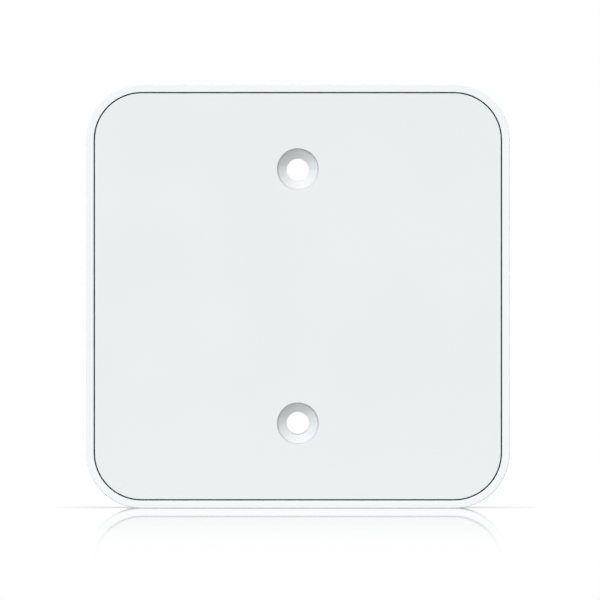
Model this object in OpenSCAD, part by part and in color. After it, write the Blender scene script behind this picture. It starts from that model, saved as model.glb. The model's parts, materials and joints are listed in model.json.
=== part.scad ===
// Square ceiling access point, held by two countersunk screws that pass right through its body.
// Every module is drawn lying on its ceiling face: x to the right, y up, z the depth towards the room.
// place() stands the drawing up, so that the room face looks along -Y and the ceiling face lies at y = 0.

/* [Body] */
// Outer width and height of the square body
body_w = 100; // [98:0.5:104]
// Depth from the ceiling face to the room face
body_d = 30; // [30:0.5:34]
// Radius of the body's outer corners
corner_r = 13.1; // [12.5:0.1:13.5]
// Width of the side frame's rim around the front panel
rim_w = 1.8; // [1.75:0.05:1.9]
// Width of the hairline gap between the rim and the front panel
panel_gap = 0.3; // [0.2:0.05:0.3]
// Thickness of the front panel
panel_t = 2.4; // [2.4:0.1:2.8]

/* [Ceiling screws] */
// Distance between the two ceiling screw holes
screw_spacing = 60; // [59:0.1:61]
// Diameter of the screw holes, for M5
screw_hole_d = 5.4; // [5.3:0.1:5.5]
// Diameter of the countersinks at the panel's face
countersink_d = 9.9; // [9.6:0.1:10.4]

/* [Port bay] */
// Length of the bay that the network plug and its cable lie in
bay_l = 51; // [50:0.5:52]
// Width of the bay
bay_w = 36; // [34:0.5:36]
// Depth of the bay
bay_depth = 15; // [14.8:0.1:15]
// Width of the cable way from the bay to the side
cable_way_w = 10; // [8:0.5:10]

/* [Moving parts] */
// Travel of the reset button and of the switch under it
reset_travel = 0.3; // [0.2:0.05:0.4]

/* [Hidden] */
$fn = 64;

eps = 0.01;         // overlap of pieces that are joined
cut = 1;            // how far a cutter runs past the face that it opens

// Front panel, at the room end of the body
panel_inset = rim_w + panel_gap;
panel_w = body_w - 2 * panel_inset;
panel_r = corner_r - panel_inset;
panel_back = body_d - panel_t;
panel_edge_r = 0.12;
rib_h = 1;
boss_back = panel_back - rib_h;
lip_depth = 1.2;    // the steep ring at the mouth of each countersink
lip_w = 0.32;
cone_r = countersink_d / 2 - lip_w;
hole_r = screw_hole_d / 2;
cone_depth = cone_r - hole_r;
skirt_inset = 4.5;
skirt_t = 1.2;
skirt_back = panel_back - 2.4;
screw_y = screw_spacing / 2;

// Side frame
frame_wall = 2.3;
frame_back = 1;     // shadow gap between the frame and the ceiling
ledge_top = panel_back - 1.2;
ledge_t = 1.6;
ledge_w = 4.3;
front_round = 0.2;
back_round = 1.6;
post_xy = body_w / 2 - 11.5;
post_r = 4;
post_top = panel_back - 2.6;
peg_r = 1.5;
peg_clearance = 0.1;
peg_l = 7.6;

// Base casting, which closes the back and carries the board, and the tray in it that makes the port bay
base_t = 2.2;
base_inset = frame_wall + panel_gap;
base_w = body_w - 2 * base_inset;
base_r = corner_r - base_inset;
base_edge_r = 0.6;
board_back = 18;    // depth of the board's ceiling side
board_t = 1.6;
board_front = board_back + board_t;
board_w = body_w - 12;
bay_x = 8.5;        // centre of the bay
bay_wall = 1.5;
bay_floor_t = 1.3;
bay_r = 4;
bay_left = bay_x - bay_l / 2;
bay_right = bay_x + bay_l / 2;
cable_way_depth = 8;
cable_way_wall = 1.2;
tray_clearance = 0.1;
tray_flange_w = 1.5;
flange_room = 4.2;  // opening in the base's edge that the blank's flange slides through
sleeve_r = 4.25;
sleeve_top = boss_back - 0.1;
sleeve_boss_r = 6;
sleeve_boss_h = 7;
board_post_x = 40.5;
board_post_y = 16;
board_post_r = 3;
board_screw_r = 1.2;
base_screw_r = 1.45;
head_recess_r = 3.1;
head_recess_depth = 2.6;
screw_pad_h = 5;

// Shield cans stand on the board's ceiling side, with their lids towards the base
can_w = 24;
can_h = 20;
can_x = 21;
can_y = 31;
sheet = 0.25;
lid_back = board_back - 2.6;
pad_t = 1;
pedestal_w = 17;
pedestal_h = 13;
system_chip_t = 1.3;
radio_chip_t = 1.2;

// Network jack: its mouth is flush with the bay's left wall
jack_l = 21.3;
jack_w = 16;
jack_h = 13.4;
jack_sheet = 0.3;
jack_leg_w = 3;
plug_w = 11.9;
plug_h = 6.9;
plug_depth = 13;
plug_floor = board_back - 2.1;
latch_w = 6.3;
latch_h = 3;
contact_pitch = 1.02;

// Reset button in the bay's corner
reset_x = 27;
reset_y = -11;
reset_boss_back = 12;
reset_boss_r = 4.5;
reset_cap_r = 2.05;
reset_flange_r = 3.1;
switch_h = 1.1;
plunger_h = 0.4;
plunger_r = 1.1;

// Status light at the panel's lower edge, hidden behind a thin skin
light_y = -41;
light_r = 1.5;
skin_t = 0.8;

// Stands a drawing up in the part's own frame.
module place() {
    rotate([90, 0, 0]) children();
}

module rounded_rect(w, h, r) {
    square([w - 2 * r, h], center = true);
    square([w, h - 2 * r], center = true);
    for (x = [-1, 1], y = [-1, 1])
        translate([x * (w / 2 - r), y * (h / 2 - r)]) circle(r);
}

module rounded_plate(w, h, r, z0, z1) {
    translate([0, 0, z0]) linear_extrude(z1 - z0) rounded_rect(w, h, r);
}

module disc(r, z0, z1) {
    translate([0, 0, z0]) cylinder(r = r, h = z1 - z0);
}

module block(w, h, z0, z1) {
    translate([-w / 2, -h / 2, z0]) cube([w, h, z1 - z0]);
}

// Four copies, one in each quarter of the body.
module in_corners(x, y) {
    for (sx = [-1, 1], sy = [-1, 1])
        translate([sx * x, sy * y, 0]) children();
}

// Sweeps a profile round a rounded square.
// The profile's x runs inwards from the outer face, and its y is the depth.
module ring_sweep(w, r) {
    for (a = [0:90:270])
        rotate(a) {
            translate([w / 2, 0, 0]) rotate([90, 0, 0])
                linear_extrude(w - 2 * r, center = true) mirror([1, 0]) children();
            translate([w / 2 - r, w / 2 - r, 0])
                rotate_extrude(angle = 90) translate([r, 0]) mirror([1, 0]) children();
        }
}

// What comes off a corner of a profile, at the origin with the material up and to the right, to round it.
module corner_cut(r) {
    difference() {
        translate([-cut, -cut]) square(r + cut);
        translate([r, r]) circle(r);
    }
}

module frame_profile() {
    difference() {
        union() {
            translate([0, frame_back]) square([rim_w, body_d - frame_back]);
            translate([0, frame_back]) square([frame_wall, ledge_top - frame_back]);
            translate([0, ledge_top - ledge_t]) square([ledge_w, ledge_t]);
        }
        translate([0, body_d]) mirror([0, 1]) corner_cut(front_round);
        translate([0, frame_back]) corner_cut(back_round);
        translate([rim_w, body_d]) rotate(180) corner_cut(panel_edge_r);
    }
}

// One of the four posts that take a base screw at the back and a panel peg at the front.
module frame_post() {
    reach = body_w / 2 - frame_wall - post_xy;
    difference() {
        union() {
            disc(post_r, screw_pad_h + 0.05, post_top);
            for (a = [0, 90])
                rotate(a) translate([0, -0.75, screw_pad_h + 0.05])
                    cube([reach + eps, 1.5, post_top - screw_pad_h - 0.05]);
        }
        disc(base_screw_r + 0.05, screw_pad_h - cut, screw_pad_h + 10);
        disc(peg_r + peg_clearance, post_top - 7, post_top + cut);
    }
}

module side_frame() {
    color("whitesmoke") difference() {
        union() {
            ring_sweep(body_w, corner_r) frame_profile();
            for (a = [0:90:270])
                rotate(a) translate([post_xy, post_xy, 0]) frame_post();
        }
        translate([body_w / 2 - frame_wall / 2, 0, 0])
            block(frame_wall + cut, cable_way_w, frame_back - cut, frame_back + cable_way_depth - 1);
    }
}

module countersink() {
    face = body_d;
    rotate_extrude() polygon([
        [0, boss_back - cut],
        [hole_r, boss_back - cut],
        [hole_r, face - lip_depth - cone_depth],
        [cone_r, face - lip_depth],
        [countersink_d / 2, face],
        [countersink_d / 2, face + cut],
        [0, face + cut]
    ]);
}

module front_panel() {
    rib_l = body_w - 12;
    color("gainsboro") difference() {
        union() {
            difference() {
                rounded_plate(panel_w, panel_w, panel_r, panel_back, body_d);
                ring_sweep(panel_w, panel_r) translate([0, body_d]) mirror([0, 1]) corner_cut(panel_edge_r);
            }
            difference() {
                rounded_plate(body_w - 2 * skirt_inset, body_w - 2 * skirt_inset, corner_r - skirt_inset,
                    skirt_back, panel_back + eps);
                rounded_plate(body_w - 2 * (skirt_inset + skirt_t), body_w - 2 * (skirt_inset + skirt_t),
                    corner_r - skirt_inset - skirt_t, skirt_back - cut, panel_back + cut);
            }
            for (s = [-1, 1]) {
                translate([0, s * screw_y, 0]) disc(6.5, boss_back, panel_back + eps);
                translate([s * 20, 0, 0]) block(1.2, rib_l, boss_back, panel_back + eps);
                translate([0, s * 20, 0]) block(rib_l, 1.2, boss_back, panel_back + eps);
            }
            in_corners(post_xy, post_xy) disc(peg_r, panel_back - peg_l, panel_back + eps);
        }
        for (s = [-1, 1])
            translate([0, s * screw_y, 0]) countersink();
        translate([0, light_y, 0]) disc(light_r + 0.3, panel_back - cut, body_d - skin_t);
    }
}

module panel_gasket() {
    color("dimgray") ring_sweep(body_w, corner_r)
        translate([rim_w, ledge_top]) square([1.8, panel_back - ledge_top - 0.1]);
}

// Shallow obround groove in the back of the base, which widens the face that it cools through.
module groove(l) {
    r = 0.8;
    translate([0, 0, -cut]) linear_extrude(cut + 1) {
        square([2 * r, l - 2 * r], center = true);
        for (s = [-1, 1])
            translate([0, s * (l / 2 - r)]) circle(r);
    }
}

module base_bosses() {
    for (s = [-1, 1])
        translate([0, s * screw_y, 0]) disc(sleeve_boss_r, 0, sleeve_boss_h);
    in_corners(post_xy, post_xy) disc(4.5, 0, screw_pad_h);
    in_corners(board_post_x, board_post_y) disc(board_post_r, 0, board_back);
    for (at = [[-can_x, can_y], [can_x, can_y], [can_x, -can_y]])
        translate(at) block(pedestal_w, pedestal_h, 0, lid_back - pad_t);
}

module base_cuts() {
    tray_outline(tray_clearance, -cut, base_t + cut, base_t + cut);
    translate([body_w / 2 - flange_room, -cable_way_w / 2 - 2, -cut])
        cube([flange_room + cut, cable_way_w + 4, base_t + 2 * cut]);
    for (s = [-1, 1])
        translate([0, s * screw_y, 0]) disc(sleeve_r, -cut, sleeve_boss_h + cut);
    in_corners(post_xy, post_xy) {
        disc(head_recess_r, -cut, head_recess_depth);
        disc(base_screw_r + 0.2, -cut, screw_pad_h + cut);
    }
    in_corners(board_post_x, board_post_y) disc(board_screw_r + 0.05, board_back - 8, board_back + cut);
    in_corners(42, 25.5) disc(3.6, -cut, 0.8);
    in_corners(can_x, can_y + 1) for (i = [-3:3])
        translate([i * 3.4, 0, 0]) groove(21);
    translate([-33, 0, 0]) rounded_plate(22.2, 18.2, 1.6, -cut, 0.15);
}

module base_casting() {
    color("silver") difference() {
        union() {
            difference() {
                rounded_plate(base_w, base_w, base_r, 0, base_t);
                ring_sweep(base_w, base_r) corner_cut(base_edge_r);
            }
            base_bosses();
        }
        base_cuts();
    }
}

// The bay and the cable way that leads out of it to the side, wider than their walls' outside by grow.
module tray_outline(grow, z0, bay_z1, way_z1) {
    bay_grow = 2 * (bay_wall + grow);
    way_w = cable_way_w + 2 * (cable_way_wall + grow);
    translate([bay_x, 0, 0])
        rounded_plate(bay_l + bay_grow, bay_w + bay_grow, bay_r + bay_wall + grow, z0, bay_z1);
    translate([bay_right, -way_w / 2, z0])
        cube([body_w / 2 - flange_room - bay_right, way_w, way_z1 - z0]);
}

module reset_boss() {
    translate([reset_x, reset_y, 0]) difference() {
        disc(reset_boss_r, reset_boss_back, bay_depth + bay_floor_t);
        disc(reset_cap_r + 0.1, reset_boss_back - cut, bay_depth);
        disc(reset_flange_r + 0.2, reset_boss_back + 1.2, bay_depth + 4);
    }
}

// Moulded tray that makes the port bay. Its flange lies against the inside of the base.
module port_tray() {
    color("lightgray") {
        difference() {
            union() {
                tray_outline(0, 0, bay_depth + bay_floor_t, cable_way_depth + cable_way_wall);
                tray_outline(tray_flange_w, base_t + 0.05, base_t + 1.05, base_t + 1.05);
            }
            translate([bay_x, 0, 0]) rounded_plate(bay_l, bay_w, bay_r, -cut, bay_depth);
            translate([bay_right - bay_r, -cable_way_w / 2, -cut])
                cube([body_w / 2 - bay_right, cable_way_w, cable_way_depth + cut]);
            translate([bay_left - bay_wall - cut, -jack_w / 2 - 0.1, board_back - jack_h - 0.1])
                cube([bay_wall + cut, jack_w + 0.2, jack_h + cut]);
            translate([reset_x, reset_y, 0]) disc(reset_flange_r + 0.2, reset_boss_back, bay_depth + 4);
        }
        reset_boss();
    }
}

// Fills the frame's notch for a cable that runs along the ceiling, and slides out backwards.
module cable_entry_blank() {
    side_clearance = 0.15;
    end_clearance = 0.1;
    z1 = frame_back + cable_way_depth - 1 - end_clearance;
    color("white") union() {
        intersection() {
            ring_sweep(body_w, corner_r) frame_profile();
            translate([body_w / 2 - frame_wall / 2, 0, 0])
                block(frame_wall + cut, cable_way_w - 2 * side_clearance, frame_back, z1);
        }
        translate([body_w / 2 - frame_wall - 1.35, -cable_way_w / 2 - 1.2, frame_back + 0.2])
            cube([1.2, cable_way_w + 2.4, z1 - frame_back + 0.6]);
        translate([body_w / 2 - frame_wall - 0.2, -cable_way_w / 2 + 1, frame_back + 0.4])
            cube([0.4, cable_way_w - 2, z1 - frame_back - 0.8]);
    }
}

module screw_sleeve() {
    difference() {
        disc(sleeve_r, 0, sleeve_top);
        disc(hole_r, -cut, sleeve_top + cut);
    }
}

module upper_screw_sleeve() {
    color("lightgray") translate([0, screw_y, 0]) screw_sleeve();
}

module lower_screw_sleeve() {
    color("lightgray") translate([0, -screw_y, 0]) screw_sleeve();
}

module ceiling_pads() {
    color("dimgray") in_corners(42, 25.5) disc(3.5, 0, 0.8);
}

module blank_label() {
    color("gainsboro") translate([-33, 0, 0]) rounded_plate(22, 18, 1.5, 0.05, 0.15);
}

// A pan head with a hexalobe-like socket, drawn head down at the origin with its shank along +z.
module screw(head_r, head_h, shank_r, shank_l, socket_r) {
    difference() {
        union() {
            disc(head_r, 0.25, head_h);
            cylinder(r1 = head_r - 0.25, r2 = head_r, h = 0.25);
            disc(shank_r, head_h - eps, head_h + shank_l - 0.5);
            translate([0, 0, head_h + shank_l - 0.5]) cylinder(r1 = shank_r, r2 = shank_r * 0.6, h = 0.5);
        }
        translate([0, 0, -cut]) cylinder(r = socket_r, h = cut + head_h * 0.6, $fn = 6);
    }
}

module base_screws() {
    color("silver") in_corners(post_xy, post_xy)
        translate([0, 0, head_recess_depth - 2]) screw(2.7, 2, base_screw_r, 11, 1.2);
}

module board_screws() {
    color("silver") in_corners(board_post_x, board_post_y)
        translate([0, 0, board_front + 1.5]) mirror([0, 0, 1]) screw(2.2, 1.5, board_screw_r, 8.5, 1);
}

// The board's corners are notched for the side frame's posts.
module main_board() {
    z0 = board_back - cut;
    z1 = board_front + cut;
    notch = 2 * (body_w / 2 - post_xy + post_r + 0.8);
    color("seagreen") difference() {
        rounded_plate(board_w, board_w, 1, board_back, board_front);
        in_corners(body_w / 2, body_w / 2) block(notch, notch, z0, z1);
        in_corners(board_post_x, board_post_y) disc(1.4, z0, z1);
        for (s = [-1, 1]) {
            translate([0, s * screw_y, 0]) disc(sleeve_r + 0.75, z0, z1);
            at_jack() at_jack_leg(s) block(jack_leg_w + 0.2, jack_sheet + 0.2, z0, z1);
        }
    }
}

// A chip on the board's ceiling side.
module chip(w, h, t) {
    block(w, h, board_back - t, board_back - 0.1);
    block(w - 0.8, h - 0.8, board_back - 0.1 - eps, board_back);
}

module at_system_chip() {
    translate([-can_x - 3, can_y - 1, 0]) children();
}

module at_radio_chip(side) {
    translate([can_x - 3, side * can_y, 0]) children();
}

module system_chip() {
    color("darkslategray") at_system_chip() chip(14, 14, system_chip_t);
}

module memory_chips() {
    color("black") for (s = [-1, 1])
        translate([-can_x + 8.2, can_y + s * 4.6, 0]) chip(5.6, 8, 1.1);
}

module flash_chip() {
    color("black") translate([-39.5, 27, 0]) chip(5, 6, 1.2);
}

module radio_chips() {
    color("black") for (s = [-1, 1]) {
        at_radio_chip(s) chip(10, 10, radio_chip_t);
        for (k = [-1, 1])
            translate([can_x + 7, s * can_y + k * 4.5, 0]) chip(4, 4, 1);
    }
}

module shield_frame() {
    difference() {
        block(can_w, can_h, lid_back + sheet + 0.1, board_back);
        block(can_w - 2 * sheet, can_h - 2 * sheet, lid_back, board_back + cut);
    }
}

module shield_lid() {
    lid_side = board_back - 0.5;
    difference() {
        block(can_w + 2 * sheet, can_h + 2 * sheet, lid_back, lid_side);
        block(can_w, can_h, lid_back + sheet, lid_side + cut);
        for (i = [-3:3], s = [-1, 1])
            translate([i * 3, s * (can_h / 2 - 1.8), 0]) disc(0.6, lid_back - cut, lid_back + cut);
    }
}

module system_shield_frame() {
    color("silver") translate([-can_x, can_y, 0]) shield_frame();
}

module system_shield_lid() {
    color("silver") translate([-can_x, can_y, 0]) shield_lid();
}

module radio5_shield_frame() {
    color("silver") translate([can_x, can_y, 0]) shield_frame();
}

module radio5_shield_lid() {
    color("silver") translate([can_x, can_y, 0]) shield_lid();
}

module radio2_shield_frame() {
    color("silver") translate([can_x, -can_y, 0]) shield_frame();
}

module radio2_shield_lid() {
    color("silver") translate([can_x, -can_y, 0]) shield_lid();
}

// One pad between each lid and the base, and one between each large chip and its lid.
module thermal_pads() {
    color("lightblue") {
        for (at = [[-can_x, can_y], [can_x, can_y], [can_x, -can_y]])
            translate(at) block(pedestal_w - 1, pedestal_h - 1, lid_back - pad_t, lid_back);
        at_system_chip() block(12, 12, lid_back + sheet, board_back - system_chip_t);
        for (s = [-1, 1])
            at_radio_chip(s) block(8, 8, lid_back + sheet, board_back - radio_chip_t);
    }
}

// Bent sheet antenna on three legs, on the board's room side, with its length along x.
module sheet_antenna(l, w, h) {
    t = 0.3;
    top = board_front + h;
    difference() {
        block(l, w, top - t, top);
        translate([l * 0.08, 0, 0]) block(l * 0.7, 0.9, top - cut, top + cut);
        translate([l * 0.42, w / 4, 0]) block(0.9, w / 2, top - cut, top + cut);
    }
    for (x = [-l / 2 + 1, -l / 2 + 5])
        translate([x, -w / 2 + t / 2, 0]) block(1.2, t, board_front, top - t + eps);
    translate([l / 2 - 1, -w / 2 + t / 2, 0]) block(1.2, t, board_front, top - t + eps);
}

module antenna_2g_left() {
    color("gold") translate([-40.5, 0, 0]) rotate(90) sheet_antenna(23, 6, 5.4);
}

module antenna_2g_right() {
    color("gold") translate([40.5, 0, 0]) rotate(-90) sheet_antenna(23, 6, 5.4);
}

module antenna_5g_left() {
    color("gold") translate([-21, 40, 0]) mirror([0, 1, 0]) sheet_antenna(14, 6, 5.4);
}

module antenna_5g_right() {
    color("gold") translate([21, 40, 0]) mirror([0, 1, 0]) sheet_antenna(14, 6, 5.4);
}

module bluetooth_antenna() {
    color("lightyellow") translate([-24, -41.5, 0]) block(7, 2, board_front, board_front + 1.2);
}

module status_led() {
    color("white") translate([0, light_y, 0]) block(2, 1.4, board_front, board_front + 0.7);
}

module status_light_pipe() {
    color("lightcyan") translate([0, light_y, 0]) {
        disc(light_r, board_front + 0.9, body_d - skin_t - 0.1);
        block(6, 3, board_front + 1.4, board_front + 2.4);
        for (s = [-1, 1])
            translate([s * 2.5, 0, 0]) disc(0.5, board_front, board_front + 1.4 + eps);
    }
}

// Moves to the network jack: x is the distance in from its mouth, y is across it.
module at_jack() {
    translate([bay_left, 0, 0]) mirror([1, 0, 0]) children();
}

module at_jack_leg(side) {
    translate([4, side * (jack_w - jack_sheet) / 2, 0]) children();
}

module jack_box(x0, x1, w, z0, z1) {
    translate([x0, -w / 2, z0]) cube([x1 - x0, w, z1 - z0]);
}

module network_jack_shield() {
    top = board_back - jack_h;
    color("silver") at_jack() {
        difference() {
            jack_box(0, jack_l, jack_w, top, board_back);
            jack_box(-cut, jack_l - jack_sheet, jack_w - 2 * jack_sheet, top + jack_sheet, board_back + cut);
        }
        for (s = [-1, 1])
            at_jack_leg(s) block(jack_leg_w, jack_sheet, board_back - eps, board_front + 0.8);
    }
}

module plug_cavity() {
    jack_box(-cut, plug_depth, plug_w, plug_floor - plug_h, plug_floor);
    jack_box(-cut, plug_depth, latch_w, plug_floor - plug_h - latch_h, plug_floor - plug_h + eps);
}

module jack_light_spaces(grow) {
    for (s = [-1, 1])
        translate([0, s * 5.5, 0])
            jack_box(-cut * grow, 1, 2.6 + grow * 0.1, plug_floor - plug_h - 3.3, plug_floor - plug_h - 0.9);
}

module network_jack_insert() {
    top = board_back - jack_h;
    color("black") at_jack() difference() {
        jack_box(0.1, jack_l - jack_sheet - 0.1, jack_w - 2 * jack_sheet - 0.1,
            top + jack_sheet + 0.05, board_back);
        plug_cavity();
        jack_light_spaces(1);
    }
}

module network_jack_lights() {
    color("palegreen") at_jack() intersection() {
        jack_light_spaces(0);
        jack_box(0.1, 1, jack_w, 0, board_back);
    }
}

module network_jack_contacts() {
    t = 0.3;
    color("gold") at_jack() for (i = [-3.5:3.5])
        translate([0, i * contact_pitch + 0.23, 0]) rotate([90, 0, 0]) linear_extrude(0.46) polygon([
            [1.6, plug_floor],
            [1.6, plug_floor - t],
            [10, plug_floor - 2.2],
            [10.6, plug_floor - 2.1],
            [10.6, plug_floor - 1.8],
            [2.2, plug_floor - eps],
            [2.2, plug_floor]
        ]);
}

module network_transformer() {
    color("black") translate([-28, 14, 0]) {
        block(12, 7, board_back - 4.5, board_back - 0.3);
        for (i = [-3:3], s = [-1, 1])
            translate([i * 1.5, s * 3.9, 0]) block(0.5, 0.9, board_back - 0.6, board_back);
    }
}

module power_transformer_core() {
    color("dimgray") translate([-26.5, -28, 0]) difference() {
        block(13, 7, board_back - 10, board_back - 1);
        for (s = [-1, 1])
            translate([s * 4.1, 0, 0]) block(2.2, 7 + cut, board_back - 8.2, board_back - 2.8);
    }
}

module power_transformer_coil() {
    color("gold") translate([-26.5, -28, 0]) {
        for (s = [-1, 1]) {
            translate([0, s * 4.75, 0]) block(10.4, 2.5, board_back - 8.2, board_back - 2.8);
            translate([0, s * 5.2, 0]) block(12, 1.4, board_back - 2.8 - eps, board_back - 1.2);
            for (i = [-2:2])
                translate([i * 2.4, s * 5.4, 0]) block(0.7, 0.6, board_back - 1.2 - eps, board_back);
        }
    }
}

module power_capacitors() {
    color("darkslateblue") for (y = [-25.5, -36])
        translate([-13, y, 0]) {
            disc(4, board_back - 10.5, board_back - 1.4);
            disc(3.7, board_back - 1.4 - eps, board_back - 0.9);
            disc(4, board_back - 0.9 - eps, board_back);
            disc(3.6, board_back - 10.8, board_back - 10.5 + eps);
        }
}

module power_inductors() {
    color("dimgray") for (x = [-30.5, -22.5])
        translate([x, -38.5, 0]) {
            rounded_plate(6, 6, 1, board_back - 4, board_back - 0.4);
            for (s = [-1, 1])
                translate([s * 2.4, 0, 0]) block(1.1, 3.4, board_back - 0.4 - eps, board_back);
        }
}

module power_rectifiers() {
    color("black") for (y = [-24, -29.5])
        translate([-38.5, y, 0]) {
            block(4, 4, board_back - 1.6, board_back - 0.3);
            for (sx = [-1, 1], sy = [-1, 1])
                translate([sx * 2.3, sy * 1.2, 0]) block(1, 0.8, board_back - 0.6, board_back);
        }
}

module crystals() {
    color("silver") for (at = [[-5, 21], [5, 21]])
        translate(at) rounded_plate(3.2, 2.5, 0.4, board_back - 0.9, board_back);
}

// Rows of chip resistors and capacitors on both sides of the board.
module small_passives() {
    part_l = 1;
    part_w = 0.5;
    part_h = 0.4;
    color("tan") {
        for (i = [0:5], row = [0, 1])
            translate([-38.6 + i * 1.9, -11 - row * 1.7, 0])
                block(part_w, part_l, board_back - part_h, board_back);
        for (i = [0:4], s = [-1, 1])
            translate([38.2, s * (22 + i * 1.6), 0])
                block(part_l, part_w, board_back - part_h, board_back);
        for (i = [0:7], row = [0:2])
            translate([-10 + i * 2.8, -6 + row * 6, 0])
                block(part_l, part_w, board_front, board_front + part_h);
        for (i = [0:5], s = [-1, 1])
            translate([s * 31, 14 + i * 2, 0]) block(part_l, part_w, board_front, board_front + part_h);
    }
}

module reset_button() {
    color("white") translate([reset_x, reset_y, 0]) {
        disc(reset_cap_r, reset_boss_back - 0.8, reset_boss_back + 1.3);
        disc(reset_flange_r, reset_boss_back + 1.25, reset_boss_back + 2.05);
        disc(1, reset_boss_back + 2.05 - eps, board_back - switch_h - plunger_h - 0.02);
    }
}

module reset_switch_body() {
    color("dimgray") translate([reset_x, reset_y, 0]) difference() {
        union() {
            block(5.2, 5.2, board_back - switch_h, board_back);
            for (sx = [-1, 1], sy = [-1, 1])
                translate([sx * 3, sy * 1.9, 0]) block(1, 0.7, board_back - 0.3, board_back);
        }
        disc(plunger_r + 0.1, board_back - switch_h - cut, board_back - 0.2);
    }
}

module reset_switch_plunger() {
    color("black") translate([reset_x, reset_y, 0])
        disc(plunger_r, board_back - switch_h - plunger_h, board_back - 0.3 - reset_travel);
}

place() front_panel();
place() side_frame();
place() base_casting();
place() port_tray();
place() panel_gasket();
place() cable_entry_blank();
place() upper_screw_sleeve();
place() lower_screw_sleeve();
place() ceiling_pads();
place() blank_label();
place() base_screws();
place() board_screws();
place() main_board();
place() system_chip();
place() memory_chips();
place() flash_chip();
place() radio_chips();
place() system_shield_frame();
place() system_shield_lid();
place() radio5_shield_frame();
place() radio5_shield_lid();
place() radio2_shield_frame();
place() radio2_shield_lid();
place() thermal_pads();
place() antenna_2g_left();
place() antenna_2g_right();
place() antenna_5g_left();
place() antenna_5g_right();
place() bluetooth_antenna();
place() status_led();
place() status_light_pipe();
place() network_jack_shield();
place() network_jack_insert();
place() network_jack_contacts();
place() network_jack_lights();
place() network_transformer();
place() power_transformer_core();
place() power_transformer_coil();
place() power_capacitors();
place() power_inductors();
place() power_rectifiers();
place() crystals();
place() small_passives();
place() reset_button();
place() reset_switch_body();
place() reset_switch_plunger();
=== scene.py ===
"""Looks of a square ceiling access point: its materials and chip parts, and the studio around it."""

import json
import math

import bmesh
import bpy
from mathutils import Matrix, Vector


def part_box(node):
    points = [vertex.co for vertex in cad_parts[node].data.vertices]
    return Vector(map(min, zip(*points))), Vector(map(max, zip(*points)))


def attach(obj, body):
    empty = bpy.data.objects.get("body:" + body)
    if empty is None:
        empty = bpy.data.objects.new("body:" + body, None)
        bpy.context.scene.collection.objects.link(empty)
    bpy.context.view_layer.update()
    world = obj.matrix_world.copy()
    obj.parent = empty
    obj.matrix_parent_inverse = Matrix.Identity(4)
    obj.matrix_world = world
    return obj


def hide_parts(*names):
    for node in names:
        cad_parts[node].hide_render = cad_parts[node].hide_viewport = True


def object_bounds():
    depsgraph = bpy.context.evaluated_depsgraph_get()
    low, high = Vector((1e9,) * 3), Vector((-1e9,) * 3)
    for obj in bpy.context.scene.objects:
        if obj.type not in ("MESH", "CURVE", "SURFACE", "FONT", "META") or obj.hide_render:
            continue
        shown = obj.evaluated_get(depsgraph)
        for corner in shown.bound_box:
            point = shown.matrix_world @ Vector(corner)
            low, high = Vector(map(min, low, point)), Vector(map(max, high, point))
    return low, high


MM = 0.001
BORDER_INSET = 1.1 * MM   # from the label's edge to the middle of its printed border
BORDER_WIDTH = 0.28 * MM

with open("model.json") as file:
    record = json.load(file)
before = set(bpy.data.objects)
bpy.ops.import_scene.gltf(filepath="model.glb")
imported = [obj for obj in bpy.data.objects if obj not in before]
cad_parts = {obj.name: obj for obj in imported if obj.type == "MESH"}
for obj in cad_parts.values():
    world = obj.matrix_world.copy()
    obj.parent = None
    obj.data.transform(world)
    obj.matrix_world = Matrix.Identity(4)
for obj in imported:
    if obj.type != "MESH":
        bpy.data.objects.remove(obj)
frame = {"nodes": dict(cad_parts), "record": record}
nodes = frame["nodes"]
cad_low, cad_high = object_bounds()


# ---------------------------------------------------------------- node helpers

class Tree:
    """Short calls for the nodes of a material or of the world."""

    def __init__(self, owner):
        owner.use_nodes = True
        self.nodes = owner.node_tree.nodes
        self.links = owner.node_tree.links

    def add(self, kind, inputs=None, **settings):
        node = self.nodes.new(kind)
        for key, value in settings.items():
            setattr(node, key, value)
        for key, value in (inputs or {}).items():
            self.feed(node.inputs[key], value)
        return node

    def feed(self, socket, value):
        if isinstance(value, bpy.types.NodeSocket):
            self.links.new(value, socket)
        else:
            socket.default_value = value

    def maths(self, operation, a, b=0.0, c=0.0):
        return self.add("ShaderNodeMath", {0: a, 1: b, 2: c}, operation=operation).outputs[0]

    def curve(self, value, stops):
        """Straight lines through stops of (value, result), both from 0 to 1."""
        node = self.add("ShaderNodeFloatCurve", {"Value": value})
        points = node.mapping.curves[0].points
        while len(points) < len(stops):
            points.new(1.0, 0.0)
        for point, stop in zip(points, stops):
            point.location = stop
            point.handle_type = "VECTOR"
        node.mapping.update()
        return node.outputs[0]


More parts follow.
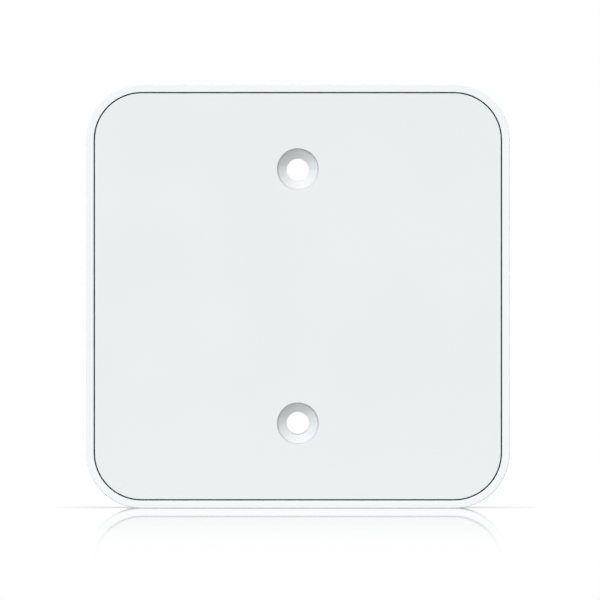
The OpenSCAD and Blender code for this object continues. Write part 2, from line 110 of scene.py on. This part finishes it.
class Shader(Tree):
    """A material with one Principled shader, and short calls for its patterns."""

    def __init__(self, name, colour, roughness, metallic=0.0):
        self.material = bpy.data.materials.new(name)
        super().__init__(self.material)
        self.bsdf = self.nodes["Principled BSDF"]
        self.set("Base Color", (*colour, 1.0))
        self.set("Roughness", roughness)
        self.set("Metallic", metallic)
        self.coords = self.add("ShaderNodeTexCoord").outputs["Object"]
        self.axes = self.add("ShaderNodeSeparateXYZ", {"Vector": self.coords}).outputs

    def set(self, name, value):
        self.feed(self.bsdf.inputs[name], value)

    def noise(self, size, detail=2.0, roughness=0.5, coords=None, stretch=None):
        """Noise whose features are about `size` metres across."""
        coords = coords or self.coords
        if stretch:
            coords = self.add("ShaderNodeMapping", {"Vector": coords, "Scale": stretch}).outputs[0]
        inputs = {"Vector": coords, "Scale": 1.0 / size, "Detail": detail, "Roughness": roughness}
        return self.add("ShaderNodeTexNoise", inputs).outputs["Fac"]

    def spread(self, value, low, high, start=0.0, end=1.0):
        """Takes start..end of a value to low..high."""
        inputs = {"Value": value, "From Min": start, "From Max": end, "To Min": low, "To Max": high}
        return self.add("ShaderNodeMapRange", inputs).outputs[0]

    def tones(self, value, *stops):
        """Colours along a value: stops are (position, colour)."""
        ramp = self.add("ShaderNodeValToRGB", {"Fac": value})
        elements = ramp.color_ramp.elements
        while len(elements) < len(stops):
            elements.new(1.0)
        for element, (position, colour) in zip(elements, stops):
            element.position = position
            element.color = (*colour, 1.0)
        return ramp.outputs["Color"]

    def mix(self, fac, a, b):
        node = self.add("ShaderNodeMix", data_type="RGBA")
        self.feed(node.inputs["Factor"], fac)
        self.feed(node.inputs["A"], (*a, 1.0) if isinstance(a, tuple) else a)
        self.feed(node.inputs["B"], (*b, 1.0) if isinstance(b, tuple) else b)
        return node.outputs["Result"]

    def relief(self, *layers, edge=None):
        """Bump from (height value, depth in metres) layers, over edges rounded by `edge` metres."""
        normal = None
        if edge:
            normal = self.add("ShaderNodeBevel", {"Radius": edge}, samples=4).outputs[0]
        for height, depth in layers:
            bump = self.add("ShaderNodeBump", {"Height": height, "Distance": depth})
            if normal:
                self.feed(bump.inputs["Normal"], normal)
            normal = bump.outputs[0]
        self.set("Normal", normal)


def shade(colour, factor):
    """A colour made lighter or darker."""
    return tuple(min(1.0, channel * factor) for channel in colour)


# ---------------------------------------------------------------- materials

def moulded_plastic(name, colour, roughness, grain=0.25 * MM, depth=0.006 * MM, edge=0.08 * MM):
    """Injection moulded plastic: an even spark-eroded grain, and a faint drift of tone and gloss."""
    s = Shader(name, colour, roughness)
    drift = s.noise(30 * MM, detail=1.0)
    s.set("Base Color", s.tones(drift, (0.35, shade(colour, 0.992)), (0.65, shade(colour, 1.008))))
    s.set("Roughness", s.spread(s.noise(9 * MM), roughness - 0.04, roughness + 0.04, 0.3, 0.7))
    s.relief((s.noise(grain, detail=3.0), depth), edge=edge)
    return s.material


def powder_coat(name, colour):
    """Powder coat on a die casting: soft orange peel, fine specks and slightly worn edges."""
    s = Shader(name, colour, 0.5)
    specks = s.noise(0.35 * MM, detail=4.0)
    tones = s.tones(specks, (0.3, shade(colour, 0.86)), (0.5, colour), (0.75, shade(colour, 1.08)))
    s.set("Base Color", tones)
    s.set("Roughness", s.spread(s.noise(6 * MM), 0.42, 0.56, 0.3, 0.7))
    s.relief((s.noise(1.3 * MM, detail=1.0), 0.12 * MM), (specks, 0.02 * MM), edge=0.25 * MM)
    return s.material


def rubber(name, colour):
    """Dull rubber with a fine, uneven grain."""
    s = Shader(name, colour, 0.85)
    grain = s.noise(0.18 * MM, detail=4.0)
    s.set("Base Color", s.tones(grain, (0.35, shade(colour, 0.75)), (0.7, shade(colour, 1.35))))
    s.relief((grain, 0.02 * MM), edge=0.15 * MM)
    return s.material


def rolled_metal(name, colour, roughness, along=(1.0, 14.0, 1.0)):
    """Plated or rolled sheet: fine drawn lines one way, and blotches of duller plating."""
    s = Shader(name, colour, roughness, metallic=1.0)
    lines = s.noise(0.8 * MM, detail=4.0, stretch=along)
    s.set("Base Color", s.tones(s.noise(3 * MM), (0.3, shade(colour, 0.88)), (0.7, shade(colour, 1.06))))
    s.set("Roughness", s.spread(lines, roughness - 0.08, roughness + 0.1, 0.3, 0.7))
    s.relief((lines, 0.004 * MM), edge=0.1 * MM)
    return s.material


def turned_metal(name, colour, roughness, node, radius):
    """Turned metal: tool rings round the axes of a node's round pieces, which lie along Y.

    The pieces reach out by `radius` from their axes and mirror each other across X and Z.
    """
    s = Shader(name, colour, roughness, metallic=1.0)
    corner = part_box(node)[1]
    across = s.maths("SUBTRACT", s.maths("ABSOLUTE", s.axes["X"]), corner.x - radius)
    upwards = s.maths("SUBTRACT", s.maths("ABSOLUTE", s.axes["Z"]), corner.z - radius)
    squares = s.maths("ADD", s.maths("POWER", across, 2.0), s.maths("POWER", upwards, 2.0))
    ring = s.add("ShaderNodeCombineXYZ", {"X": s.maths("SQRT", squares), "Y": s.axes["Y"]}).outputs[0]
    lines = s.noise(0.22 * MM, detail=2.0, coords=ring)
    s.set("Base Color", s.tones(lines, (0.3, shade(colour, 0.8)), (0.7, shade(colour, 1.08))))
    s.set("Roughness", s.spread(lines, roughness - 0.08, roughness + 0.12, 0.3, 0.7))
    s.relief((lines, 0.012 * MM), edge=0.1 * MM)
    return s.material


def circuit_board(name, mask, copper, tin):
    """Solder mask over copper: rectangular pours, tracks along the board's two directions, and small vias."""
    s = Shader(name, mask, 0.28)
    flat = s.add("ShaderNodeCombineXYZ", {"X": s.axes["X"], "Y": s.axes["Z"]}).outputs[0]

    def bricks(size, turn, width, height, mortar, offset):
        """Rectangles on the board, `width` by `height` in units of `size` metres, turned by `turn`."""
        turned = s.add("ShaderNodeMapping", {"Vector": flat, "Rotation": (0.0, 0.0, turn)}).outputs[0]
        inputs = {"Vector": turned, "Scale": 1.0 / size, "Mortar Size": mortar, "Mortar Smooth": 0.1,
                  "Brick Width": width, "Row Height": height}
        return s.add("ShaderNodeTexBrick", inputs, offset=offset).outputs

    gaps = bricks(14 * MM, 0.0, 1.3, 0.8, 0.012, 0.37)["Fac"]
    across = bricks(2.2 * MM, 0.0, 5.1, 0.35, 0.06, 0.37)["Fac"]
    upwards = bricks(2.2 * MM, math.pi / 2, 4.3, 0.3, 0.05, 0.41)["Fac"]
    cells = {"Vector": flat, "Scale": 1.0 / (13 * MM), "Randomness": 0.7}
    zone = s.add("ShaderNodeTexVoronoi", cells, distance="CHEBYCHEV", feature="F1").outputs["Color"]
    shares = s.add("ShaderNodeSeparateColor", {"Color": zone}).outputs
    across = s.maths("MULTIPLY", across, s.maths("GREATER_THAN", shares["Red"], 0.6))
    upwards = s.maths("MULTIPLY", upwards, s.maths("GREATER_THAN", shares["Green"], 0.65))
    track = s.maths("MAXIMUM", across, upwards)
    vias = s.add("ShaderNodeTexVoronoi", {"Vector": flat, "Scale": 1.0 / (2.6 * MM), "Randomness": 0.8})
    via = s.spread(vias.outputs["Distance"], 1.0, 0.0, 0.08, 0.1)
    weave = s.noise(0.6 * MM, detail=2.0)
    ground = s.tones(weave, (0.3, shade(mask, 0.85)), (0.7, shade(mask, 1.15)))
    masked = s.mix(s.maths("MAXIMUM", track, gaps), ground, copper)
    s.set("Base Color", s.mix(via, masked, tin))
    s.set("Coat Weight", 0.6)
    s.set("Coat Roughness", 0.15)
    s.relief((track, 0.03 * MM), (via, 0.02 * MM), (weave, 0.004 * MM))
    return s.material


def chip_resin(name, colour):
    """Filled moulding resin: matt, with a fine grain of grey filler."""
    s = Shader(name, colour, 0.55)
    grain = s.noise(0.12 * MM, detail=3.0)
    s.set("Base Color", s.tones(grain, (0.3, shade(colour, 0.8)), (0.7, shade(colour, 1.25))))
    s.set("Roughness", s.spread(s.noise(2 * MM), 0.45, 0.65, 0.3, 0.7))
    s.relief((grain, 0.008 * MM), edge=0.06 * MM)
    return s.material


def soft_pad(name, colour):
    """Gap filler: matt, faintly mottled, with the print of its liner."""
    s = Shader(name, colour, 0.7)
    mottle = s.noise(1.1 * MM, detail=3.0)
    s.set("Base Color", s.tones(mottle, (0.3, shade(colour, 0.88)), (0.7, shade(colour, 1.1))))
    s.relief((mottle, 0.03 * MM), edge=0.2 * MM)
    return s.material


def ceramic(name, colour):
    """Fired ceramic or ferrite: dense, satin and finely speckled."""
    s = Shader(name, colour, 0.4)
    grain = s.noise(0.2 * MM, detail=3.0)
    s.set("Base Color", s.tones(grain, (0.3, shade(colour, 0.85)), (0.7, shade(colour, 1.12))))
    s.relief((grain, 0.006 * MM), edge=0.05 * MM)
    return s.material


def clear_plastic(name, colour):
    """Clear moulded plastic with slight flow marks."""
    s = Shader(name, colour, 0.08)
    s.set("Transmission Weight", 0.9)
    s.set("IOR", 1.49)
    s.set("Roughness", s.spread(s.noise(1.5 * MM), 0.04, 0.14, 0.3, 0.7))
    s.relief((s.noise(0.9 * MM), 0.004 * MM), edge=0.1 * MM)
    return s.material


def label_film(name, colour, node):
    """Blank polyester label: silvery, satin, finely brushed, with a thin border printed along its edge."""
    s = Shader(name, colour, 0.35, metallic=0.35)
    low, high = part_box(node)
    centre = (low + high) / 2
    half = (high - low) / 2
    across = s.maths("ABSOLUTE", s.maths("SUBTRACT", s.axes["X"], centre.x))
    upwards = s.maths("ABSOLUTE", s.maths("SUBTRACT", s.axes["Z"], centre.z))
    inset = s.maths("MINIMUM", s.maths("SUBTRACT", half.x, across), s.maths("SUBTRACT", half.z, upwards))
    border = s.maths("COMPARE", inset, BORDER_INSET, BORDER_WIDTH / 2)
    lines = s.noise(0.5 * MM, detail=3.0, stretch=(0.2, 1.0, 6.0))
    film = s.tones(lines, (0.3, shade(colour, 0.94)), (0.7, shade(colour, 1.04)))
    s.set("Base Color", s.mix(border, film, shade(colour, 0.3)))
    s.set("Roughness", s.spread(lines, 0.3, 0.42, 0.3, 0.7))
    s.relief((lines, 0.003 * MM))
    return s.material


def wound_tape(name, colour):
    """Glossy tape wound round a coil, with the ridges of the turns under it, and painted shade in the grooves
    between them.
    """
    s = Shader(name, colour, 0.3)
    inputs = {"Vector": s.coords, "Scale": 1.0 / (2.2 * MM), "Distortion": 0.6, "Detail": 1.0}
    ridges = s.add("ShaderNodeTexWave", inputs, bands_direction="Y").outputs["Fac"]
    # Painted shade: the tape is darker in the grooves between the turns, where the bump is low.
    s.set("Base Color", s.tones(ridges, (0.1, shade(colour, 0.8)), (0.8, colour)))
    s.relief((ridges, 0.05 * MM), edge=0.1 * MM)
    return s.material


# How far the turned metal pieces reach out from their axes.
SLEEVE_R = 4.25 * MM
BASE_SCREW_HEAD_R = 2.7 * MM
BOARD_SCREW_HEAD_R = 2.2 * MM

PLASTIC_GREY = (0.808, 0.840, 0.850)
PLASTIC_WHITE = (0.885, 0.905, 0.922)
ALUMINIUM = (0.66, 0.67, 0.685)
ZINC = (0.58, 0.59, 0.61)
MASK_GREEN = (0.010, 0.075, 0.034)

# The material of each slot in the record.
MATERIALS = {
    "panel_plastic": moulded_plastic("panel_plastic", PLASTIC_GREY, 0.5),
    "frame_plastic": moulded_plastic("frame_plastic", PLASTIC_WHITE, 0.42),
    "cast_base": powder_coat("cast_base", (0.66, 0.67, 0.68)),
    "tray_plastic": moulded_plastic("tray_plastic", (0.55, 0.56, 0.57), 0.5, depth=0.012 * MM),
    "dark_rubber": rubber("dark_rubber", (0.035, 0.035, 0.038)),
    "sleeve_aluminium": turned_metal("sleeve_aluminium", ALUMINIUM, 0.3, "upper_screw_sleeve", SLEEVE_R),
    "label_film": label_film("label_film", (0.62, 0.63, 0.64), "blank_label"),
    "zinc_steel": turned_metal("zinc_steel", ZINC, 0.28, "base_screws", BASE_SCREW_HEAD_R),
    "circuit_board": circuit_board("circuit_board", MASK_GREEN, (0.022, 0.12, 0.05), (0.5, 0.5, 0.42)),
    "chip_resin": chip_resin("chip_resin", (0.018, 0.018, 0.02)),
    "tinned_steel": rolled_metal("tinned_steel", (0.62, 0.62, 0.605), 0.3),
    "thermal_pad": soft_pad("thermal_pad", (0.2, 0.32, 0.45)),
    "antenna_metal": rolled_metal("antenna_metal", (0.76, 0.75, 0.71), 0.25, along=(14.0, 1.0, 1.0)),
    "contact_gold": rolled_metal("contact_gold", (0.9, 0.66, 0.27), 0.2),
    "ceramic": ceramic("ceramic", (0.42, 0.29, 0.19)),
    "led_body": ceramic("led_body", (0.8, 0.8, 0.72)),
    "clear_plastic": clear_plastic("clear_plastic", (0.95, 0.97, 0.98)),
    "jack_plastic": moulded_plastic("jack_plastic", (0.02, 0.02, 0.022), 0.45),
    "light_window": moulded_plastic("light_window", (0.35, 0.6, 0.3), 0.25),
    "ferrite": ceramic("ferrite", (0.04, 0.04, 0.042)),
    "winding_tape": wound_tape("winding_tape", (0.72, 0.5, 0.06)),
    "capacitor_sleeve": moulded_plastic("capacitor_sleeve", (0.02, 0.04, 0.11), 0.25),
    "button_plastic": moulded_plastic("button_plastic", (0.8, 0.8, 0.79), 0.25),
}
# The board's screws share a slot with the base's, but their tool rings have other centres.
NODE_MATERIALS = {
    "board_screws": turned_metal("board_steel", ZINC, 0.28, "board_screws", BOARD_SCREW_HEAD_R),
}


def dress_nodes():
    """Gives each CAD node its own material or else the one of its slot."""
    for part in frame["record"]["subparts"]:
        mesh = nodes[part["node"]].data
        mesh.materials.clear()
        mesh.materials.append(NODE_MATERIALS.get(part["node"], MATERIALS[part["material_slot"]]))


# ---------------------------------------------------------------- chip parts

# Cross-sections of a chip part from end to end: (place along its length, share of its full section).
CHIP_SECTIONS = (
    (-0.5, 0.88), (-0.46, 1.0), (-0.27, 1.0), (-0.27, 0.9),
    (0.27, 0.9), (0.27, 1.0), (0.46, 1.0), (0.5, 0.88),
)
CHIP_BODY_STRIP = 3       # the strip between the sections that is the body; the others are tinned ends
CHIP_MATERIALS = ("tinned_steel", "ceramic", "chip_resin")
CHIP_TIN = 0              # the ends' place in CHIP_MATERIALS
CHIP_BODIES = (1, 1, 2)   # the places that the bodies take in turn: two capacitors, then a resistor


def solids_of(mesh):
    """The (lowest, highest) corners of each separate solid in a mesh, in the order of their places."""
    bm = bmesh.new()
    bm.from_mesh(mesh)
    bmesh.ops.remove_doubles(bm, verts=bm.verts, dist=0.001 * MM)
    seen = set()
    boxes = []
    for first in bm.verts:
        if first in seen:
            continue
        seen.add(first)
        solid = [first]
        for vert in solid:
            for edge in vert.link_edges:
                other = edge.other_vert(vert)
                if other not in seen:
                    seen.add(other)
                    solid.append(other)
        low = Vector([min(v.co[axis] for v in solid) for axis in range(3)])
        high = Vector([max(v.co[axis] for v in solid) for axis in range(3)])
        boxes.append((low, high))
    bm.free()
    return sorted(boxes, key=lambda box: [round(value / MM, 2) for value in box[0]])


def add_chip(bm, low, high, body_slot):
    """One closed chip part in the box from low to high, with its length along X or Z."""
    centre = (low + high) / 2
    size = high - low
    along = 0 if size.x > size.z else 2
    across = 2 - along
    rings = []
    for place, share in CHIP_SECTIONS:
        ring = []
        for a, b in ((-0.5, -0.5), (0.5, -0.5), (0.5, 0.5), (-0.5, 0.5)):
            corner = centre.copy()
            corner[along] += place * size[along]
            corner[across] += a * share * size[across]
            corner.y += b * share * size.y
            ring.append(bm.verts.new(corner))
        rings.append(ring)
    for strip, (ring, after) in enumerate(zip(rings, rings[1:])):
        for i in range(4):
            face = bm.faces.new((ring[i], ring[i - 1], after[i - 1], after[i]))
            face.material_index = body_slot if strip == CHIP_BODY_STRIP else CHIP_TIN
    bm.faces.new(rings[0])
    bm.faces.new(rings[-1])


def make_chip_parts():
    """Capacitors and resistors with tinned ends, where the CAD node has plain blocks."""
    bm = bmesh.new()
    for count, (low, high) in enumerate(solids_of(nodes["small_passives"].data)):
        add_chip(bm, low, high, CHIP_BODIES[count % len(CHIP_BODIES)])
    bmesh.ops.recalc_face_normals(bm, faces=bm.faces)
    mesh = bpy.data.meshes.new("chip_parts")
    bm.to_mesh(mesh)
    bm.free()
    for name in CHIP_MATERIALS:
        mesh.materials.append(MATERIALS[name])
    chips = bpy.data.objects.new("chip_parts", mesh)
    bpy.context.scene.collection.objects.link(chips)
    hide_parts("small_passives")
    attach(chips, "housing")


# ---------------------------------------------------------------- floor, light and camera

FLOOR_HALF = 12.0         # half the floor's width, in metres
FLOOR_IOR = 1.45
GLOSS_REACH = 800 * MM    # distance from the object over which the floor's gloss fades away
# The share of the gloss that is left, by distance from the object to GLOSS_REACH.
GLOSS_FADE = ((0.0, 0.95), (0.1, 0.8), (0.18, 0.42), (0.4, 0.4), (0.55, 0.2), (0.75, 0.06), (1.0, 0.0))
PAINTED_SHADOW_REACH = 13 * MM   # how far the painted contact shadow darkens the floor around the object
PAINTED_SHADOW_WHITE = 0.7       # how white the floor stays under the painted contact shadow, where the object covers it

AMBIENT = 0.30            # light of the surround on the object, where white is 1
AMBIENT_SLOPE = (-0.04, 0.0, 0.08)    # how much brighter it gets along X, Y and Z
# What reflections see of the surround, from straight down to straight up: white only at the horizon.
MIRRORED = ((0.0, 0.2), (0.4, 0.4), (0.49, 1.0), (0.54, 1.0), (0.64, 0.6), (0.8, 0.85), (1.0, 1.0))

# Soft lights: name, direction, distance and size in metres, and the light each brings, where white is 1.
# The one under the floor is the light that a white floor throws back.
LIGHTS = (
    ("key", (-0.16, -0.84, 0.52), 8.0, 4.8, 0.843),
    ("floor_bounce", (0.0, -0.6, -0.8), 0.5, 0.3, 0.1),
    ("back", (0.5, 0.7, 0.5), 3.0, 3.0, 0.32),
    ("right", (1.0, 0.5, 0.0), 3.0, 2.0, 0.26),
    ("left", (-1.0, 0.5, 0.0), 3.0, 2.0, 0.28),
)

VIEW_WIDTH = 141.6 * MM   # width of the picture at the object's face
FOCAL_LENGTH = 1000.0     # in millimetres, as SENSOR_WIDTH is; long, so that the face has no perspective
SENSOR_WIDTH = 36.0
CAMERA_RIGHT = 0.5 * MM   # how far the camera stands right of the object's middle, and below it
CAMERA_DOWN = 0.87 * MM


def floor_material():
    """White that glows by itself and mirrors close to the object, darkened a little around the object by a
    painted contact shadow.
    """
    material = bpy.data.materials.new("floor_white")
    t = Tree(material)
    t.nodes.clear()
    place = t.add("ShaderNodeNewGeometry").outputs["Position"]
    level = t.add("ShaderNodeVectorMath", {0: place, 1: (1.0, 1.0, 0.0)}, operation="MULTIPLY").outputs[0]
    away = t.add("ShaderNodeVectorMath", {0: level}, operation="LENGTH").outputs["Value"]
    fade = t.curve(t.maths("DIVIDE", away, GLOSS_REACH), GLOSS_FADE)
    grazing = t.add("ShaderNodeFresnel", {"IOR": FLOOR_IOR}).outputs[0]
    mirror = t.maths("MULTIPLY", fade, grazing)
    # Painted contact shadow: ambient occlusion darkens the floor's glow and its mirror near the object.
    open_sky = t.add("ShaderNodeAmbientOcclusion", {"Distance": PAINTED_SHADOW_REACH}, samples=8).outputs["AO"]
    white = t.add("ShaderNodeMapRange", {"Value": open_sky, "To Min": PAINTED_SHADOW_WHITE}).outputs[0]
    white = t.add("ShaderNodeCombineColor", {"Red": white, "Green": white, "Blue": white}).outputs[0]
    glow = t.add("ShaderNodeEmission", {"Color": white, "Strength": 1.0}).outputs[0]
    gloss = t.add("ShaderNodeBsdfGlossy", {"Color": white, "Roughness": 0.02}).outputs[0]
    both = t.add("ShaderNodeMixShader", {0: mirror, 1: glow, 2: gloss}).outputs[0]
    t.add("ShaderNodeOutputMaterial", {"Surface": both})
    material.cycles.emission_sampling = "NONE"
    return material


def make_floor():
    """A plain square floor, which neither lights the object nor shades it from the light below."""
    mesh = bpy.data.meshes.new("floor")
    signs = ((-1, -1), (1, -1), (1, 1), (-1, 1))
    mesh.from_pydata([(x * FLOOR_HALF, y * FLOOR_HALF, cad_low.z) for x, y in signs], [], [(0, 1, 2, 3)])
    mesh.materials.append(floor_material())
    floor = bpy.data.objects.new("floor", mesh)
    bpy.context.scene.collection.objects.link(floor)
    floor.visible_diffuse = False
    floor.visible_shadow = False


def make_world():
    """A soft surround, brighter above and to the left. The camera sees it as plain white."""
    world = bpy.data.worlds.new("studio")
    bpy.context.scene.world = world
    t = Tree(world)
    background = t.nodes["Background"]
    direction = t.add("ShaderNodeTexCoord").outputs["Generated"]
    seen = t.add("ShaderNodeLightPath").outputs

    slope = t.add("ShaderNodeVectorMath", {0: direction, 1: AMBIENT_SLOPE}, operation="DOT_PRODUCT")
    light = t.maths("ADD", slope.outputs["Value"], AMBIENT)
    height = t.add("ShaderNodeSeparateXYZ", {"Vector": direction}).outputs["Z"]
    mirrored = t.curve(t.maths("MULTIPLY_ADD", height, 0.5, 0.5), MIRRORED)
    glossy = t.add("ShaderNodeMix", {"Factor": seen["Is Glossy Ray"], "A": light, "B": mirrored}).outputs[0]
    strength = t.add("ShaderNodeMix", {"Factor": seen["Is Camera Ray"], "A": glossy, "B": 1.0}).outputs[0]
    background.inputs["Color"].default_value = (1.0, 1.0, 1.0, 1.0)
    t.feed(background.inputs["Strength"], strength)


def make_softbox(name, direction, distance, size, level):
    """A square area light. `level` is the light it brings to a surface that faces it, where white is 1."""
    data = bpy.data.lights.new(name, "AREA")
    data.size = size
    data.energy = level * (math.pi * distance) ** 2
    lamp = bpy.data.objects.new(name, data)
    towards = Vector(direction).normalized()
    lamp.location = towards * distance
    lamp.rotation_euler = towards.to_track_quat("Z", "Y").to_euler()
    lamp.visible_camera = False
    bpy.context.scene.collection.objects.link(lamp)


def make_camera():
    """A camera that looks square at the object's face."""
    centre = (cad_low + cad_high) / 2
    distance = VIEW_WIDTH * FOCAL_LENGTH / SENSOR_WIDTH
    data = bpy.data.cameras.new("camera")
    data.lens = FOCAL_LENGTH
    data.sensor_width = SENSOR_WIDTH
    data.clip_start = 0.1
    data.clip_end = 100.0
    camera = bpy.data.objects.new("camera", data)
    camera.location = (centre.x + CAMERA_RIGHT, cad_low.y - distance, centre.z - CAMERA_DOWN)
    camera.rotation_euler = (math.pi / 2, 0.0, 0.0)
    bpy.context.scene.collection.objects.link(camera)
    bpy.context.scene.camera = camera


dress_nodes()
make_chip_parts()
make_floor()
make_world()
for light in LIGHTS:
    make_softbox(*light)
make_camera()
bpy.context.scene.view_settings.view_transform = "Standard"
